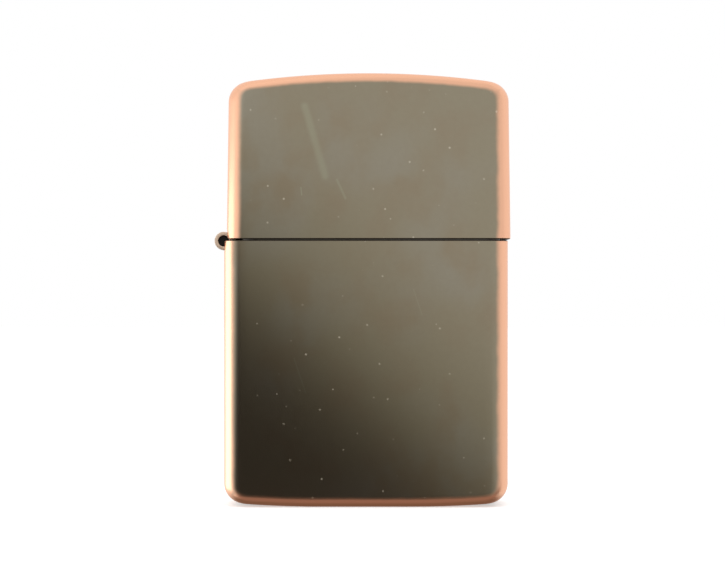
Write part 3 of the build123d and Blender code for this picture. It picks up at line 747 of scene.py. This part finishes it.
def fibre_finish(name, pale, dark, pitch, depth):
    """Tangled fibre: cloudy colour, no gloss, and a loose raised surface."""
    material, tree, shader = new_finish(name, metallic=0)
    tangle = cloud(tree, on_piece(tree), pitch, 6)
    tree.links.new(blend_colours(tree, tangle, dark, pale), shader.inputs["Base Color"])
    shader.inputs["Roughness"].default_value = 0.95
    shader.inputs["Sheen Weight"].default_value = 0.3
    relief(tree, shader, tangle, depth)
    return material


rayon = fibre_finish("rayon_wool", (0.86, 0.84, 0.79, 1), (0.55, 0.52, 0.47, 1), 0.5 * MM, 0.25 * MM)
felt = fibre_finish("pressed_felt", (0.78, 0.75, 0.70, 1), (0.50, 0.47, 0.43, 1), 0.25 * MM, 0.10 * MM)
for node in frame["nodes"]:
    if node.startswith("packing_wad"):
        dress(node, rayon)
dress("felt_pad", felt)

# ---- Studio ------------------------------------------------------------------------------------------
# A white sweep with soft lights. The case is polished enough to mirror what stands round it: a bright
# wall on its left, the pale sweep on its right, and a shaded card close in front.

card_gap, card_reach = 35 * MM, 160 * MM
camera_gap = 320 * MM               # from the front face
view_width = 94.67 * MM             # across the front face
view_centre = Vector((-0.46 * MM, 0, 28.4 * MM))
sensor_width = 36

floor_mesh = bmesh.new()
bmesh.ops.create_grid(floor_mesh, x_segments=2, y_segments=2, size=1.5)
floor = finished("floor", floor_mesh)
floor.location.z = case_low.z - 0.02 * MM
floor_material, _, floor_shader = new_finish("pale_floor", metallic=0)
floor_shader.inputs["Base Color"].default_value = (0.75, 0.75, 0.75, 1)
floor_shader.inputs["Roughness"].default_value = 0.9
floor_shader.inputs["Specular IOR Level"].default_value = 0.1
floor_shader.inputs["Emission Color"].default_value = (1, 1, 1, 1)
floor_shader.inputs["Emission Strength"].default_value = 0.45
floor.data.materials.append(floor_material)
floor.visible_glossy = False


def shaded_paper():
    """A glowing card, dark low on the left and pale high on the right, with a white strip at its left
    end and a warm brown below, where the table's shade falls on it."""
    dark_to_pale = (
        (0.05, (0.025, 0.018, 0.014, 1)), (0.19, (0.035, 0.026, 0.020, 1)), (0.28, (0.15, 0.135, 0.11, 1)),
        (0.40, (0.43, 0.42, 0.37, 1)), (0.50, (0.56, 0.55, 0.51, 1)), (0.66, (0.74, 0.73, 0.71, 1)),
        (1.0, (0.80, 0.80, 0.80, 1)))
    slope_direction, slope_half_length = (1, 0, 1.15), 40 * MM * (1 + card_gap / camera_gap)
    brown_start, brown_full = -4 * MM, -22 * MM
    white_direction, white_start, white_full = (1, 0, -0.5), -41 * MM, -68 * MM
    material = bpy.data.materials.new("shaded_card")
    material.use_nodes = True
    tree = material.node_tree
    tree.nodes.clear()
    place = on_piece(tree)
    slope = aim(tree, "DOT_PRODUCT", aim(tree, "SUBTRACT", place, view_centre), slope_direction)
    climb = reckon(tree, "DIVIDE", reckon(tree, "ADD", slope, slope_half_length), 2 * slope_half_length)
    ramp = tree.nodes.new("ShaderNodeValToRGB")
    tree.links.new(climb, ramp.inputs[0])
    elements = ramp.color_ramp.elements
    while len(elements) < len(dark_to_pale):
        elements.new(0.5)
    for element, (position, colour) in zip(elements, dark_to_pale):
        element.position, element.color = position, colour
    downward = fade(tree, parts_of(tree, place)[2], brown_start, brown_full)
    leftward = fade(tree, aim(tree, "DOT_PRODUCT", place, white_direction), white_start, white_full)
    lit = blend_colours(tree, downward, ramp.outputs[0], (0.30, 0.22, 0.19, 1))
    lit = blend_colours(tree, leftward, lit, (1, 1, 1, 1))
    glow = tree.nodes.new("ShaderNodeEmission")
    tree.links.new(lit, glow.inputs["Color"])
    surface = tree.nodes.new("ShaderNodeOutputMaterial")
    tree.links.new(glow.outputs[0], surface.inputs[0])
    return material


card_mesh = bmesh.new()
bmesh.ops.create_grid(card_mesh, x_segments=1, y_segments=1, size=card_reach)
for vertex in card_mesh.verts:
    vertex.co = Vector((vertex.co.x, case_low.y - card_gap, vertex.co.y + view_centre.z))
card = finished("shaded_card", card_mesh)
card.data.materials.append(shaded_paper())
card.visible_camera = False
card.visible_shadow = False
card.visible_diffuse = False


def soft_light(name, place, target, width, height, power):
    """A rectangular diffuser aimed at the object."""
    light = bpy.data.lights.new(name, "AREA")
    light.shape, light.size, light.size_y = "RECTANGLE", width, height
    light.energy = power
    lamp = bpy.data.objects.new(name, light)
    bpy.context.scene.collection.objects.link(lamp)
    lamp.location = place
    lamp.rotation_mode = "QUATERNION"
    lamp.rotation_quaternion = (Vector(target) - Vector(place)).to_track_quat("-Z", "Y")
    return lamp


soft_light(
    "left_wall", place=(-0.12, 0.01, 0.008), target=(0, 0, 0.015), width=0.12, height=0.08, power=0.055)
overhead = soft_light(
    "overhead", place=(0.02, -0.05, 0.32), target=(0, 0, 0.028), width=0.30, height=0.30, power=0.25)
overhead.visible_glossy = False

world = bpy.data.worlds.new("white_sweep")
bpy.context.scene.world = world
world.use_nodes = True
sky = world.node_tree
table_shade, sweep_white = (0.21, 0.16, 0.13, 1), (0.95, 0.95, 0.95, 1)
sky_x, _, sky_z = parts_of(sky, sky.nodes.new("ShaderNodeTexCoord").outputs["Generated"])
sideways = reckon(sky, "MULTIPLY", reckon(sky, "ABSOLUTE", sky_x), 0.5)
rising = fade(sky, reckon(sky, "ADD", sky_z, sideways), -0.5, -0.05)
mirrored = blend_colours(sky, rising, table_shade, sweep_white)
ray = sky.nodes.new("ShaderNodeLightPath")
seen = blend_colours(sky, ray.outputs["Is Glossy Ray"], (1, 1, 1, 1), mirrored)
sky.links.new(seen, sky.nodes["Background"].inputs["Color"])

lens = bpy.data.cameras.new("camera")
lens.sensor_width = sensor_width
lens.lens = sensor_width * camera_gap / view_width
lens.clip_start, lens.clip_end = 0.01, 10
camera = bpy.data.objects.new("camera", lens)
bpy.context.scene.collection.objects.link(camera)
camera.location = (view_centre.x, case_low.y - camera_gap, view_centre.z)
camera.rotation_euler = (pi / 2, 0, 0)
bpy.context.scene.camera = camera
bpy.context.scene.view_settings.view_transform = "Standard"
